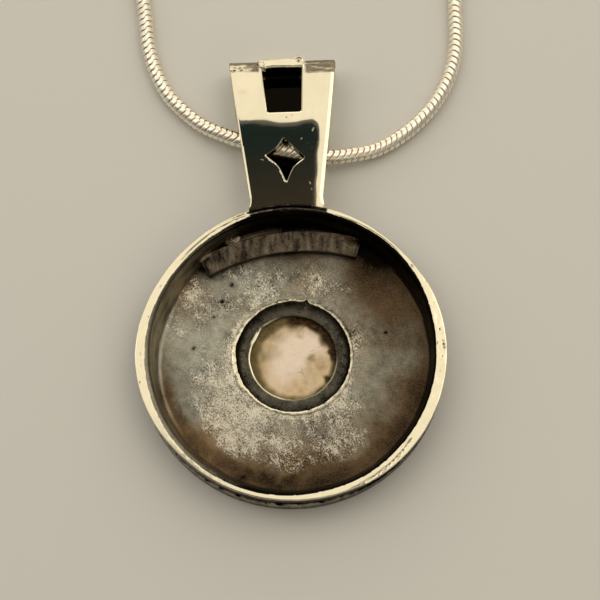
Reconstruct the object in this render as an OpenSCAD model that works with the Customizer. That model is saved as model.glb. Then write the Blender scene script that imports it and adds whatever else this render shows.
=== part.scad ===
// A cast silver pendant with a mother of pearl stone, lying face down, and its snake chain.
// The disc lies on its front flange at z = 0, and its hollow back faces up.

/* [Disc] */
// Diameter across the front flange
disc_d = 32; // [31:0.5:33]
// Height from the resting face to the back rim
disc_t = 4; // [3.8:0.1:4.2]
// Set-back of the back rim from the flange
rim_step = 0.15; // [0.1:0.05:0.25]
// Width of the back rim
rim_w = 1.15; // [1.05:0.05:1.3]
// Slope of the wall inside the rim, as the width that it takes
wall_w = 1; // [0.8:0.05:1.2]
// Depth of the recess at the foot of that wall
recess_depth = 2.7; // [2.5:0.05:2.8]
// Thickness of the dished plate
plate_t = 1; // [0.9:0.05:1.1]

/* [Opening and stone] */
// Diameter of the back opening where its bevel starts
opening_d = 12.2; // [11.8:0.1:12.4]
// Diameter of the back opening at its narrow edge
window_d = 9; // [8.4:0.1:9.6]
// Depth of the opening's wide edge below the back rim
opening_depth = 2.3; // [2.2:0.05:2.4]
// Diameter of the stone
stone_d = 12; // [11.8:0.1:12]
// Gap between the stone's dome and the table
stone_lift = 0.12; // [0.06:0.02:0.2]

/* [Bail] */
// Distance from the disc's centre to the fold at the bail's end
bail_end = 33; // [32:0.25:34]
// Width of the bail where it meets the disc
bail_root_w = 7.7; // [7:0.1:8]
// Width of the bail at its fold
bail_top_w = 11.7; // [11:0.1:12]
// Thickness of the bail's strap
strap_t = 1; // [0.9:0.05:1.05]
// Width and height of the diamond hole
diamond_size = [4.4, 5.3]; // [3.5:0.1:5.5]
// Width of the slot at its wide end, and at its narrow end
slot_w = [4.3, 3.7]; // [3:0.1:4.5]

/* [Soldered plate] */
// Width of the curved plate in the recess
tag_w = 2.3; // [2:0.1:2.5]
// Angle that the plate spans round its own centre
tag_span = 46; // [40:1:48]

/* [Chain] */
// Diameter of the snake chain
chain_d = 1.6; // [1.4:0.05:1.65]

/* [Hidden] */
$fn = 96;
eps = 0.01;

// The disc's centre, so that the middle of the whole necklace is at the origin
disc_at = [-1.75, -88.7, 0];

// Radii of the disc
flange_r = disc_d / 2;
rim_r = flange_r - rim_step;
land_r = rim_r - rim_w;
floor_r = land_r - wall_w;
opening_r = opening_d / 2;
window_r = window_d / 2;
stone_r = stone_d / 2;
piece_gap = 0.08;
seat_r = stone_r + piece_gap;
bezel_w = 0.7;
bezel_r = seat_r + bezel_w;

// Heights of the disc
floor_z = disc_t - recess_depth;
opening_z = disc_t - opening_depth;
window_z = opening_z - 0.5;
seat_z = window_z - 0.3;
seam_z = 2.3;
edge_r = 0.25;
flange_round = 0.45;
flange_land_w = 1.1;

// The stone lies under its seat, and its low dome faces the table
stone_back_z = seat_z - piece_gap;
girdle_z = stone_back_z - 0.25;
dome_h = girdle_z - stone_lift;
bezel_z = 0.12;
dome_r = (stone_r * stone_r + dome_h * dome_h) / (2 * dome_h);
lip_in = 0.3;

// Height of the recess floor at radius r: it rises a little from the wall to the opening
function floor_height(r) =
    let (t = (floor_r - 0.35 - r) / (floor_r - 0.35 - opening_r))
    floor_z + (opening_z - floor_z) * pow(max(t, 0), 1.3);

// Points of an arc round c, in n steps
function arc(c, r, from, to, n = 6) =
    [for (i = [0 : n]) let (a = from + (to - from) * i / n) c + r * [cos(a), sin(a)]];

// Bail
fold_r = 1.4;
fold_in_r = 0.45;
root_y = 15.1;
root_flare = 0.65;
fold_corner = 0.35;
strap_z = disc_t - strap_t;
slot_y = [26.55, bail_end - strap_t - 0.05];
slot_corner = 0.3;
diamond_y = 21.05;
diamond_waist = 0.42;
bar_r = 0.5;
bar_at = [bail_end - 0.55, disc_t - bar_r];
bar_half = 2.35;
bar_ball_r = 0.56;

// Soldered plate: a flat curved bar whose own centre is below the disc's centre
tag_centre = [1.1, -8.7];
tag_r = 20;
tag_tilt = 5.5;
tag_top_z = 2.15;
tag_t = 1.05;
solder_at = [-5.9, 12.75, 1.9];
solder_r = 0.85;

// Chain route from the disc's centre: across, up, and how far it is lifted from lying flat (0)
// to the middle of the bail (1). It is a whole loop of 457 mm with its clasp.
clasp_x = 2;
clasp_y = 191;
chain_r = chain_d / 2;
chain_sides = 8;
route = [
    [-3.6, 191, 0.36], [-6.8, 191, 0.36], [-12, 190.8, 0.2], [-22, 189.2, 0], [-34, 184, 0], [-45, 175, 0],
    [-53, 163, 0], [-58, 147, 0], [-58, 131, 0], [-54, 115, 0], [-47, 100, 0], [-38, 86, 0],
    [-28.5, 72, 0], [-20.5, 58, 0], [-16.3, 48, 0], [-15.2, 41, 0], [-14.6, 35.5, 0], [-12.8, 30.6, 0],
    [-9.6, 27, 0.1], [-6.8, 25.2, 0.55], [-4.2, 24, 0.95], [0, 22.8, 1], [4.2, 22, 0.95], [7.2, 22.3, 0.55],
    [10.4, 23.2, 0.1], [14.2, 25.7, 0], [17.3, 29.4, 0], [19.1, 34.2, 0], [19.5, 41, 0], [20.2, 51, 0],
    [25, 64, 0], [33.5, 78, 0], [43, 92, 0], [52, 106, 0], [59, 120, 0], [62, 136, 0],
    [60.5, 152, 0], [54, 167, 0], [43.5, 179, 0], [30, 187, 0], [16, 190.8, 0.2], [10.8, 191, 0.36],
    [7.6, 191, 0.36]
];
bail_lift = disc_t / 2 - chain_r;
chain_points = [for (p = route) [p[0], p[1], chain_r + p[2] * bail_lift]];

// End caps and clasp, from the clasp's middle
cap_r = 1.2;
cap_from = 4.6;
cap_len = 4;
cap_bevel = 0.25;
cap_bore_r = chain_r + 0.1;
cap_bore_from = 5.5;
eye_r = 0.95;
eye_wire_r = 0.25;
clasp_wire_r = 0.45;
clasp_end_r = 1.9;
clasp_half = 1.75;
clasp_z = 1;
clasp_barrel_r = 0.8;

// Outline of the turned disc, from the seat round over the back, the side and the front
function disc_outline() = concat(
    [[window_r, seat_z], [window_r, window_z], [opening_r, opening_z]],
    [for (i = [1 : 9]) let (r = opening_r + (floor_r - 0.35 - opening_r) * i / 10) [r, floor_height(r)]],
    [[floor_r - 0.35, floor_z], [floor_r, floor_z + 0.12], [land_r, disc_t - 0.12], [land_r + 0.1, disc_t]],
    arc([rim_r - edge_r, disc_t - edge_r], edge_r, 90, 0, 3),
    [[rim_r, seam_z + 0.25], [rim_r - 0.2, seam_z + 0.15], [rim_r - 0.2, seam_z], [flange_r, seam_z - 0.15]],
    arc([flange_r - flange_round, flange_round], flange_round, 0, -90, 4),
    [[flange_r - flange_round - flange_land_w, 0], [floor_r, floor_z - plate_t]],
    [for (i = [1 : 5]) let (r = floor_r + (bezel_r - floor_r) * i / 5) [r, floor_height(r) - plate_t]],
    [[bezel_r - 0.05, bezel_z + 0.15], [bezel_r - 0.2, bezel_z], [seat_r + 0.1, bezel_z]],
    [[seat_r - lip_in, girdle_z - 0.17], [seat_r, girdle_z], [seat_r, seat_z]]
);

module turned_disc() {
    rotate_extrude($fn = 128) polygon(disc_outline());
}

// The strap from the side: a flat C that is open towards the disc
module strap_side() {
    end = bail_end;
    inner = bail_end - strap_t;
    polygon(concat(
        [[root_y, 0]],
        arc([end - fold_r, fold_r], fold_r, -90, 0),
        arc([end - fold_r, disc_t - fold_r], fold_r, 0, 90),
        [[root_y, disc_t], [root_y, strap_z]],
        arc([inner - fold_in_r, strap_z - fold_in_r], fold_in_r, 90, 0, 3),
        arc([inner - fold_in_r, strap_t + fold_in_r], fold_in_r, 0, -90, 3),
        [[root_y, strap_t]]
    ));
}

// The strap from above: it widens from the disc to the fold, with a small flare at its root
module strap_plan() {
    root = bail_root_w / 2;
    top = bail_top_w / 2;
    right = concat(
        [[root + root_flare, root_y], [root + 0.25, root_y + 0.6], [root, root_y + 1.4], [root + 0.85, 24.5]],
        arc([top - fold_corner, bail_end - fold_corner], fold_corner, 0, 90, 3)
    );
    left = [for (i = [len(right) - 1 : -1 : 0]) [-right[i][0], right[i][1]]];
    polygon(concat(right, left));
}

module diamond_hole() {
    w = diamond_size[0] / 2;
    h = diamond_size[1] / 2;
    k = diamond_waist;
    translate([0, diamond_y, strap_z - 0.3])
        linear_extrude(strap_t + 0.6)
            polygon([[w, 0], [w * k, h * k], [0, h], [-w * k, h * k], [-w, 0], [-w * k, -h * k], [0, -h], [w * k, -h * k]]);
}

module slot_hole() {
    far = slot_w[0] / 2;
    near = slot_w[1] / 2;
    c = slot_corner;
    translate([0, 0, strap_z - 0.3])
        linear_extrude(strap_t + 0.6)
            polygon([
                [near - c, slot_y[0]], [near, slot_y[0] + c], [far, slot_y[1]],
                [-far, slot_y[1]], [-near, slot_y[0] + c], [c - near, slot_y[0]]
            ]);
}

// The folded strap, with the slot and the diamond cut through its back layer
module bail() {
    difference() {
        intersection() {
            translate([-bail_top_w, 0, 0]) rotate([90, 0, 90]) linear_extrude(2 * bail_top_w) strap_side();
            translate([0, 0, -eps]) linear_extrude(disc_t + 2 * eps) strap_plan();
        }
        diamond_hole();
        slot_hole();
    }
}

// The round bar that closes the slot at the fold, with a ball at each end
module slot_bar() {
    translate([-bar_half, bar_at[0], bar_at[1]]) rotate([0, 90, 0]) cylinder(h = 2 * bar_half, r = bar_r, $fn = 32);
    for (side = [-1, 1])
        translate([side * bar_half, bar_at[0] - 0.1, disc_t - bar_ball_r - 0.02]) sphere(r = bar_ball_r, $fn = 32);
}

module soldered_tag() {
    translate([tag_centre[0], tag_centre[1], tag_top_z - tag_t])
        rotate([0, 0, 90 + tag_tilt - tag_span / 2])
            rotate_extrude(angle = tag_span) translate([tag_r, 0]) square([tag_w, tag_t]);
    translate(solder_at) sphere(r = solder_r, $fn = 32);
}

// One casting: disc, wall, bezel, bail and bar, with the plate soldered in
module pendant_body() {
    color("#a39c90")
        translate(disc_at) {
            turned_disc();
            bail();
            slot_bar();
            intersection() {
                soldered_tag();
                cylinder(h = disc_t - 0.5, r = land_r + 0.3);
            }
        }
}

// A cabochon with a flat back and a low dome
module mother_of_pearl() {
    color("#dcc4ac")
        translate(disc_at)
            rotate_extrude($fn = 96)
                polygon(concat(
                    [[0, stone_back_z], [0, stone_lift]],
                    [for (i = [1 : 8]) let (r = stone_r * i / 8)
                        [r, stone_lift + dome_r - sqrt(dome_r * dome_r - r * r)]],
                    [[stone_r, stone_back_z - 0.1], [stone_r - 0.1, stone_back_z]]
                ));
}

// A smooth curve through the points, with the given steps in each span
function spline(p, steps) = concat(
    [for (i = [0 : len(p) - 2], k = [0 : steps - 1])
        let (
            a = i == 0 ? 2 * p[0] - p[1] : p[i - 1],
            b = p[i],
            c = p[i + 1],
            d = i == len(p) - 2 ? 2 * c - b : p[i + 2],
            t = k / steps
        )
        (2 * b + (c - a) * t + (2 * a - 5 * b + 4 * c - d) * t * t + (3 * b - a - 3 * c + d) * t * t * t) / 2],
    [p[len(p) - 1]]
);

function unit(v) = v / norm(v);

// One ring of the tube, square to the curve, with a corner straight down
function ring(at, along, r, sides) =
    let (across = unit(cross(along, [0, 0, 1])), up = cross(across, along))
    [for (j = [0 : sides - 1]) let (a = 360 * j / sides - 90) at + r * (cos(a) * across + sin(a) * up)];

module tube(path, r, sides) {
    last = len(path) - 1;
    points = [for (i = [0 : last])
        let (along = unit(path[min(i + 1, last)] - path[max(i - 1, 0)]))
        each ring(path[i], along, r, sides)];
    walls = [for (i = [0 : last - 1], j = [0 : sides - 1])
        let (k = (j + 1) % sides)
        [i * sides + j, i * sides + k, (i + 1) * sides + k, (i + 1) * sides + j]];
    start = [for (j = [sides - 1 : -1 : 0]) j];
    end = [for (j = [0 : sides - 1]) last * sides + j];
    polyhedron(points, concat([start], walls, [end]), convexity = 10);
}

// The chain dips nowhere below lying flat on the table
module chain() {
    curve = [for (p = spline(chain_points, 2)) [p[0], p[1], max(p[2], chain_r)]];
    color("#d8d0bb") translate(disc_at) tube(curve, chain_r, chain_sides);
}

// A cup over the chain's end with an upright eye, made for the clasp's right side
module end_cap() {
    translate([clasp_end_r + clasp_half, 0, cap_r])
        rotate([90, 0, 0]) rotate_extrude($fn = 48) translate([eye_r, 0]) circle(r = eye_wire_r, $fn = 24);
    translate([cap_from, 0, cap_r])
        rotate([0, 90, 0])
            difference() {
                rotate_extrude($fn = 48)
                    polygon([
                        [0, 0], [cap_r - cap_bevel, 0], [cap_r, cap_bevel],
                        [cap_r, cap_len - cap_bevel], [cap_r - 0.1, cap_len], [0, cap_len]
                    ]);
                translate([0, 0, cap_bore_from - cap_from]) cylinder(h = cap_len, r = cap_bore_r, $fn = 48);
            }
}

module end_cap_left() {
    color("#d8d0bb") translate(disc_at + [clasp_x, clasp_y, 0]) mirror([1, 0, 0]) end_cap();
}

module end_cap_right() {
    color("#d8d0bb") translate(disc_at + [clasp_x, clasp_y, 0]) end_cap();
}

// A closed flat loop through both eyes, with one side thickened as the clasp's barrel
module clasp() {
    color("#d8d0bb")
        translate(disc_at + [clasp_x, clasp_y, clasp_z]) {
            for (side = [0, 1])
                mirror([side, 0, 0]) translate([clasp_half, 0, 0]) rotate([0, 0, -90])
                    rotate_extrude(angle = 180, $fn = 48) translate([clasp_end_r, 0]) circle(r = clasp_wire_r, $fn = 24);
            translate([-clasp_half, clasp_end_r, 0]) rotate([0, 90, 0])
                cylinder(h = 2 * clasp_half, r = clasp_wire_r, $fn = 24);
            translate([-clasp_half, -clasp_end_r, 0]) rotate([0, 90, 0])
                rotate_extrude($fn = 32)
                    polygon([
                        [0, 0], [clasp_wire_r, 0], [clasp_barrel_r, 0.6],
                        [clasp_barrel_r, 2 * clasp_half - 0.6], [clasp_wire_r, 2 * clasp_half], [0, 2 * clasp_half]
                    ]);
        }
}

pendant_body();
mother_of_pearl();
chain();
end_cap_left();
end_cap_right();
clasp();
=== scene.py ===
"""The looks of a silver pendant with a mother of pearl stone, lying face down on its snake chain.

Shapes are worked out in millimetres from the disc's centre and moved to the frame at the end.
"""

import math
from functools import cached_property

import bmesh
import bpy
import numpy as np
from mathutils import Matrix, Vector, noise


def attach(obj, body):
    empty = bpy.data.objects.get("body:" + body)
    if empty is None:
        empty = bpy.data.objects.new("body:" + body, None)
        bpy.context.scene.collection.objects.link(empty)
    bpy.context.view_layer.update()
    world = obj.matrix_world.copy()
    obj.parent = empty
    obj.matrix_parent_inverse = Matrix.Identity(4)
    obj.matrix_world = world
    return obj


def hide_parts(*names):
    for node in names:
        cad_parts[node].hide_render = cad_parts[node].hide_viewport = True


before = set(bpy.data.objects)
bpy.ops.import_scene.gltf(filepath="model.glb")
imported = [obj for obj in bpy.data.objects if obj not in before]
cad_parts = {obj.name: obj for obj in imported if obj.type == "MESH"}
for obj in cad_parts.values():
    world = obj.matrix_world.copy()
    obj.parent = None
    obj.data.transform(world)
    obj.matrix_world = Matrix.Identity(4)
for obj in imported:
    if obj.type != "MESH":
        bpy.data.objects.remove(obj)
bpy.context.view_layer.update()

MM = 0.001
DISC_AT = Vector((-1.75, -88.7, 0))

# The disc, as in the solids
RIM_TOP = 4
LAND_IN_R = 14.72
FLOOR_START_R = 6.62
FLOOR_EDGE_R = 13.35
FLOOR_Z = 1.3
OPENING_R = 6
OPENING_Z = 1.7
WINDOW_R = 4.5
WINDOW_Z = 1.2
SEAT_Z = 0.9
SEAT_R = 6.08
BEZEL_R = 6.78
FRONT_HOLLOW_R = 13.7
FLANGE_R = 16
SIDE_R = 15.86
SEAM_R = 15.66
SEAM_Z = 2.3
OPENING_SHIFT = (0.13, -0.1)

# The bail, as in the solids, and the height that parts its two layers
BAIL_ROOT_Y = 15.2
BAIL_ROOT_R = 15.52
BAIL_END = 33
BAIL_TOP = 3.985
BAIL_UNDER = 0.012
LAYERS_PART_Z = 2.6
STRAP_T = 1
FOLD_R = 1.4
FOLD_Y = BAIL_END - FOLD_R

# Worn rows across the fold, beside the slot
WORN_FROM = 31.1
LEFT_ROWS = (31.62, 32.1)
RIGHT_ROW = 32.2

# Half the bail's width at each distance from the disc's middle, flared at its root
BAIL_WIDTHS = [
    (14.9, 4.75), (15.4, 4.3), (15.9, 4.05), (16.4, 3.93), (17, 3.9), (19.6, 4.22),
    (24.5, 4.85), (29, 5.4), (32.4, 5.78), (32.75, 5.74), (32.9, 5.64), (33, 5.47),
]

# The flat of the back rim: where its edges lie at each angle
LAND_EDGES = [
    # angle, outer radius, inner radius
    (-180, 16.24, 15.18), (-165, 16.22, 15.24), (-152, 16.08, 15.3), (-138, 15.91, 15.34),
    (-122, 15.83, 15.32), (-105, 15.8, 15.3), (-92, 15.78, 15.22), (-80, 15.8, 15.12),
    (-68, 15.88, 15.16), (-58, 16.02, 15.12), (-44, 16.08, 15), (-25, 16.07, 14.94),
    (0, 16.08, 14.9), (14, 16.04, 15), (24, 15.96, 15.16), (33, 15.8, 15.26),
    (46, 15.76, 15.32), (60, 15.84, 15.34), (74, 15.92, 15.4), (90, 15.95, 15.44),
    (105, 15.92, 15.22), (118, 15.8, 14.96), (134, 15.72, 14.88), (150, 15.82, 14.92),
    (166, 16.08, 15.1),
]


def ramp(low, high, x):
    """0 before low and 1 past high, with soft ends."""
    t = np.clip((x - low) / (high - low), 0, 1)
    return t * t * (3 - 2 * t)


def bump(x, middle, width):
    return np.exp(-(((x - middle) / width) ** 2))


def spot(x, y, size):
    """A round soft spot that fades over its size."""
    return np.exp(-(x**2 + y**2) / (size * size))


def turn(angle):
    """The angle in degrees, brought between -180 and 180."""
    return (np.asarray(angle) + 180) % 360 - 180


def polar(points):
    """Each point's x, y and z, its distance from the middle and its angle in degrees."""
    x, y, z = points.T
    return x, y, z, np.hypot(x, y), np.degrees(np.arctan2(y, x))


def bump_round(angle, middle, width):
    """A bump along a circle, all in degrees."""
    return bump(turn(angle - middle), 0, width)


def circle(sides):
    return np.arange(sides) * 2 * math.pi / sides


def facing(angle, way):
    """1 where the angle in degrees points that way, -1 where it points away."""
    return np.cos(np.radians(angle - way))


def stacked(*parts):
    return np.stack(parts, axis=-1)


def unit(vectors):
    return vectors / np.linalg.norm(vectors, axis=-1, keepdims=True)


def noise_at(points, size, octaves=1, seed=0):
    """Noise of about -1 to 1 at each point, in lumps about size mm wide."""
    scale = 1 / size
    shift = Vector((seed, -seed, 0.5 * seed))
    return np.array([noise.fractal(Vector(p) * scale + shift, 1, 2, octaves) for p in points])


def land_edges(angle):
    """Outer and inner radius of the rim's flat at each angle."""
    at, *edges = np.array(LAND_EDGES).T
    return [np.interp(angle, at, edge, period=360) for edge in edges]


def wall_foot(angle):
    """Where the recess's wall starts: further in at the upper left."""
    return 14.3 - 0.55 * bump_round(angle, 150, 30)


def floor_height(r):
    """The recess's floor, which rises from the wall to the opening."""
    t = np.clip((FLOOR_EDGE_R - r) / (FLOOR_EDGE_R - OPENING_R), 0, 1)
    return FLOOR_Z + (OPENING_Z - FLOOR_Z) * t**1.3


# Meshes

def add_object(name, data):
    obj = bpy.data.objects.new(name, data)
    bpy.context.scene.collection.objects.link(obj)
    return obj


def new_object(name, points, faces):
    mesh = bpy.data.meshes.new(name)
    mesh.from_pydata([tuple(p) for p in points], [], [tuple(f) for f in faces])
    mesh.update()
    return add_object(name, mesh)


def grid_faces(rings, sides, closed):
    """Quads between rings of points; a closed grid joins its last ring to its first."""
    faces = []
    for i in range(rings if closed else rings - 1):
        a, b = i * sides, (i + 1) % rings * sides
        for j in range(sides):
            k = (j + 1) % sides
            faces.append((a + j, a + k, b + k, b + j))
    return faces


def tube_object(name, rings):
    """A closed tube through rings of points, an array of (rings, sides, 3)."""
    count, sides = rings.shape[:2]
    faces = grid_faces(count, sides, False)
    faces.append(range(sides - 1, -1, -1))
    faces.append(range((count - 1) * sides, count * sides))
    obj = new_object(name, rings.reshape(-1, 3), faces)
    tidy_normals(obj)
    return obj


def lofted(name, outline, levels, slide=(0, 0)):
    """A solid through an outline that grows and slides from level to level."""
    p = np.array(outline)
    ahead = unit(np.roll(p, -1, axis=0) - np.roll(p, 1, axis=0))
    outward = stacked(ahead[:, 1], -ahead[:, 0])
    rings = [np.column_stack([p + grow * (outward + slide), np.full(len(p), z)]) for grow, z in levels]
    return tube_object(name, np.array(rings))


def tidy_normals(obj):
    bm = bmesh.new()
    bm.from_mesh(obj.data)
    bmesh.ops.recalc_face_normals(bm, faces=bm.faces)
    bm.to_mesh(obj.data)
    bm.free()


def rings_along(middle, forward, radius, around):
    """Rings of points round a path, square to it."""
    across = unit(np.cross(forward, (0, 0, 1)))
    upward = np.cross(across, forward)
    return middle + radius[..., None] * (np.cos(around)[:, None] * across + np.sin(around)[:, None] * upward)


def apply_modifiers(obj):
    depsgraph = bpy.context.evaluated_depsgraph_get()
    mesh = bpy.data.meshes.new_from_object(obj.evaluated_get(depsgraph))
    obj.modifiers.clear()
    obj.data = mesh


def combine(obj, others, operation):
    """Joins or cuts obj with the others, which are then removed."""
    for other in others:
        modifier = obj.modifiers.new("combine", "BOOLEAN")
        modifier.operation = operation
        modifier.solver = "MANIFOLD"
        modifier.object = other
        apply_modifiers(obj)
        bpy.data.objects.remove(other)


def arc(cx, cy, r, start, end, steps):
    angles = np.radians(np.linspace(start, end, steps + 1))
    return [(cx + r * math.cos(a), cy + r * math.sin(a)) for a in angles]


def mesh_vectors(obj, kind):
    """The mesh's points, of the kind co, or their normals, of the kind normal."""
    values = np.empty(len(obj.data.vertices) * 3)
    obj.data.vertices.foreach_get(kind, values)
    return values.reshape(-1, 3)


def paint(obj, name, *channels):
    """Stores three values from 0 to 1 on each point, for a material."""
    values = np.ones((len(obj.data.vertices), 4))
    for k, channel in enumerate(channels):
        values[:, k] = np.clip(channel, 0, 1)
    layer = obj.data.color_attributes.new(name, "FLOAT_COLOR", "POINT")
    layer.data.foreach_set("color", values.ravel())


def flat_shading(obj, sharp_angle):
    """Smooth shading that keeps large faces flat beside their rounded edges."""
    obj.data.shade_smooth()
    obj.data.set_sharp_from_angle(angle=math.radians(sharp_angle))
    modifier = obj.modifiers.new("weighted", "WEIGHTED_NORMAL")
    modifier.keep_sharp = True
    modifier.weight = 60
    apply_modifiers(obj)


def cover(obj, material):
    obj.data.materials.clear()
    obj.data.materials.append(material)


def hand_over(obj, material, replaced, sharp_angle):
    """Finishes a piece, moves it to the frame, hangs it on the root and hides the part it stands for."""
    cover(obj, material)
    flat_shading(obj, sharp_angle)
    obj.data.transform(Matrix.Translation(DISC_AT * MM) @ Matrix.Scale(MM, 4))
    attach(obj, "root")
    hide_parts(replaced)


# The turned disc

DISC_SIDES = 540
FLOOR_RINGS = 44


def ring_points(angle, r, z):
    """Points at the angles in degrees, at radius r and height z."""
    a = np.radians(angle)
    return stacked(r * np.cos(a), r * np.sin(a), z)


class Outline:
    """Rings of a turned surface, as radius and height at each angle."""

    def __init__(self, sides):
        self.angle = turn(np.arange(sides) * 360 / sides)
        self.rings = []

    def to(self, r, z, steps=1, bulge=0):
        """Goes on to a new radius and height in steps, bulging to the left of the way."""
        end = np.array([v + 0 * self.angle for v in (r, z)])
        if self.rings:
            start = self.rings[-1]
            way = end - start
            side = np.array([-way[1], way[0]]) / (np.hypot(*way) + 1e-9)
            for t in np.arange(1, steps) / steps:
                self.rings.append(start + way * t + bulge * math.sin(math.pi * t) * side)
        self.rings.append(end)

    def follow(self, *stops):
        """Goes on through stops of radius, height, steps and bulge."""
        for stop in stops:
            self.to(*stop)

    def points(self):
        r, z = np.array(self.rings).swapaxes(0, 1)
        return ring_points(self.angle, r, z)


def ring_noise(angle, r, size, seed):
    """Noise along a circle of radius r, the same at both ends."""
    return noise_at(ring_points(angle, r, seed + 0 * angle), size, 2, seed)


def make_disc():
    line = Outline(DISC_SIDES)
    angle = line.angle
    outer, inner = land_edges(angle)
    outer += 0.025 * ring_noise(angle, 16, 1.6, 3.1)
    inner += 0.035 * ring_noise(angle, 15, 1.1, 7.7)

    window = WINDOW_R + 0.035 * ring_noise(angle, 4.5, 1.3, 1.3)
    window = window - 0.16 * bump_round(angle, 150, 9) + 0.1 * bump_round(angle, 133, 5)
    opening = OPENING_R + 0.05 * ring_noise(angle, 6, 1, 4.4)
    opening += 0.035 * ring_noise(angle, 6, 0.35, 6.6)
    opening = opening + 0.14 * bump_round(angle, 168, 7) - 0.1 * bump_round(angle, -142, 8)
    notch = bump_round(angle, 75, 1.8)
    opening += 0.3 * notch
    crest_width = 0.16 + 0.2 * bump_round(angle, 188, 40) + 0.16 * bump_round(angle, -50, 55)
    crest_width += 0.08 * ring_noise(angle, 6, 0.5, 9.2)
    crest = 0.08 + 0.03 * ring_noise(angle, 6, 0.6, 5.5) - 0.12 * notch
    foot = wall_foot(angle)

    line.follow(
        (window, SEAT_Z), (window, WINDOW_Z - 0.08, 2), (window + 0.07, WINDOW_Z + 0.02, 3, 0.022),
        (opening - 0.1, OPENING_Z - 0.16, 9, -0.05), (opening, OPENING_Z + crest, 3, -0.02),
        (opening + crest_width, OPENING_Z + crest * 0.7, 3, 0.03),
        (opening + crest_width + 0.14, floor_height(6.5), 2),
    )
    for share in np.linspace(0, 1, FLOOR_RINGS):
        r = FLOOR_START_R + (foot - 0.5 - FLOOR_START_R) * share
        line.to(r, floor_height(r))
    line.follow(
        (foot + 0.02, FLOOR_Z + 0.2, 5, -0.08), (np.maximum(LAND_IN_R, foot + 0.5), 3.5, 11, 0.03),
        (inner, RIM_TOP - 0.03, 8, 0.13), (inner + 0.1, RIM_TOP, 2, 0.01),
        (outer - 0.1, RIM_TOP, 11), (outer, RIM_TOP - 0.12, 4, 0.03),
        (np.minimum(outer, SIDE_R), SEAM_Z + 0.25, 6), (SEAM_R, SEAM_Z + 0.12, 2), (SEAM_R, SEAM_Z),
        (FLANGE_R - 0.06, SEAM_Z - 0.1, 2), (FLANGE_R, SEAM_Z - 0.2, 2, 0.02), (FLANGE_R, 0.45, 5),
        (FLANGE_R - 0.45, 0, 6, 0.13), (FLANGE_R - 1.55, 0, 2), (FRONT_HOLLOW_R, 0.3, 2),
        (BEZEL_R, 0.62, 8), (BEZEL_R - 0.05, 0.27, 2), (BEZEL_R - 0.2, 0.12, 2, 0.02),
        (SEAT_R + 0.1, 0.12), (SEAT_R - 0.3, 0.4, 2), (SEAT_R, 0.57), (SEAT_R, SEAT_Z, 2),
    )

    rings = line.points()
    points = rings.reshape(-1, 3)
    relief(points)
    disc = new_object("disc", points, grid_faces(len(rings), DISC_SIDES, True))
    tidy_normals(disc)
    return disc


def relief(points):
    """Works unevenness, grooves and ridges into the side that faces up."""
    x, y, z, r, a = polar(points)
    foot = wall_foot(a)
    floor = ramp(6.4, 7, r) * ramp(0, -0.5, r - foot) * (z > 1)
    z += floor * (0.05 * noise_at(points, 2.6, 2, 2) + 0.022 * noise_at(points, 0.5, 3, 8))

    wall = ramp(-0.2, 0.1, r - foot) * (r < 15) * (z > 1.4) * ramp(3.7, 3.3, z)
    across = stacked(a * 0.09, z * 3.2, r)
    r_shift = wall * (0.05 * noise_at(across, 0.9, 2, 5) + 0.03 * noise_at(points, 0.7, 1, 6))
    ridge = 0.07 * bump(z, 1.62, 0.12) * ramp(-0.2, 0, r - foot) * (r < 14.9)
    r_shift -= ridge * (0.6 + 0.4 * noise_at(points, 1.2, 1, 9))

    land = (z > 3.9) * ramp(14.9, 15.1, r)
    z += land * 0.016 * noise_at(points, 1.3, 3, 11)
    groove_r = np.interp(a, [-70, -55, -45, -38], [15.86, 15.72, 15.6, 15.42])
    groove = bump(r, groove_r, 0.13) * ramp(-72, -66, a) * ramp(-37, -42, a)
    ticks = 0.65 + 0.5 * np.sin(a * 5.2 + 2 * np.sin(a * 1.7))
    z -= land * 0.13 * groove * np.clip(ticks, 0.25, 1)
    upper = ramp(104, 109, a) * ramp(146, 132, a)
    groove_r = np.interp(a, [104, 118, 134, 146], [15.42, 15.33, 15.2, 15.1])
    z -= land * 0.07 * upper * bump(r, groove_r, 0.07)
    upper_right = ramp(38, 44, a) * ramp(74, 66, a)
    z -= land * 0.05 * upper_right * bump(r, 15.44, 0.06)

    side = ramp(15.5, 15.6, r) * (z > 0.6) * (z < 3.75)
    along = stacked(a * 0.28, z * 0.35, 0 * a)
    r_shift += side * 0.05 * noise_at(along, 0.22, 2, 13)

    scale = (r + r_shift) / np.maximum(r, 1e-6)
    near = ramp(11, 7, r) * ramp(0.75, 1.1, z)
    for axis, shift in zip((x, y), OPENING_SHIFT):
        axis *= scale
        axis += shift * near


# The bail, its bar and the soldered plate

def softened(outline):
    """The outline with its corners cut back a little."""
    p = np.array(outline)
    ahead = np.roll(p, -1, axis=0)
    return np.stack([0.75 * p + 0.25 * ahead, 0.25 * p + 0.75 * ahead], axis=1).reshape(-1, 2)


def diamond_outline():
    """A hand-cut diamond whose lower sides curve in."""
    corners = [(2.12, 21.25), (-0.05, 23.65), (-2.12, 21.6), (0.05, 18.45)]
    curves = [0.02, 0.07, 0.13, 0.12]
    middle = np.array((0, 21.15))
    points = []
    for start, end, curve in zip(corners, corners[1:] + corners[:1], curves):
        for t in np.arange(7) / 7:
            straight = np.array(start) * (1 - t) + np.array(end) * t
            points.append(straight + (middle - straight) * curve * math.sin(math.pi * t) * 2)
    return softened(softened(points))


def slot_outline():
    """The slot, open at the fold, with two rounded corners."""
    left, right, near, far, c = -1.82, 1.9, 26.5, 32.5, 0.28
    corner = arc(right - c, near + c, c, -90, 0, 4)
    return corner + [(2.18, far), (-2.36, far)] + arc(left + c, near + c, c, 180, 270, 4)


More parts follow.
